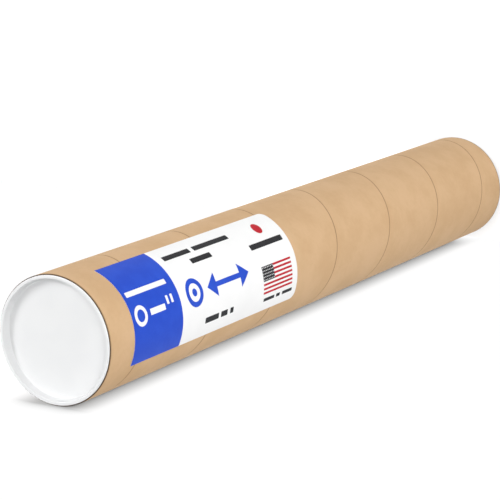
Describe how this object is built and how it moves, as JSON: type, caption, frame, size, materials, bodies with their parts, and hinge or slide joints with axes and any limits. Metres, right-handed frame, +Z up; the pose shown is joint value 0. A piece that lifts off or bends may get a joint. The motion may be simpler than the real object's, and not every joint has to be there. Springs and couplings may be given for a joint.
{
  "type": "cardboard mailing tube",
  "caption": "Long spiral-wound cardboard mailing tube with a push-in plastic cap in each end and a printed paper label wrapped round one end.",
  "frame": {"origin": "middle of the bottom cap's lip face, where the standing tube meets the floor", "axes": "+Z up along the tube's axis towards the labelled end; -Y is the way the label's middle line faces"},
  "size_m": [0.1334, 0.1337, 0.9176],
  "materials": {
    "board": "matte brown unbleached board",
    "cap_plastic": "satin white moulded plastic",
    "label_paper": "smooth white coated paper",
    "blue_ink": "flat blue print",
    "dark_ink": "flat near-black print",
    "red_ink": "flat red print"
  },
  "bodies": {
    "board_tube": {"tube": "board", "label": "label_paper", "label_blue_print": "blue_ink", "label_dark_print": "dark_ink", "label_red_print": "red_ink"},
    "top_cap": {"top_end_cap": "cap_plastic"},
    "bottom_cap": {"bottom_end_cap": "cap_plastic"}
  },
  "joints": [
    {"name": "top_cap_pull", "type": "slide", "parent": "board_tube", "child": "top_cap", "axis": [0, 0, 1], "range_m": [0, 0.05]},
    {"name": "bottom_cap_pull", "type": "slide", "parent": "board_tube", "child": "bottom_cap", "axis": [0, 0, -1], "range_m": [0, 0.05]}
  ]
}
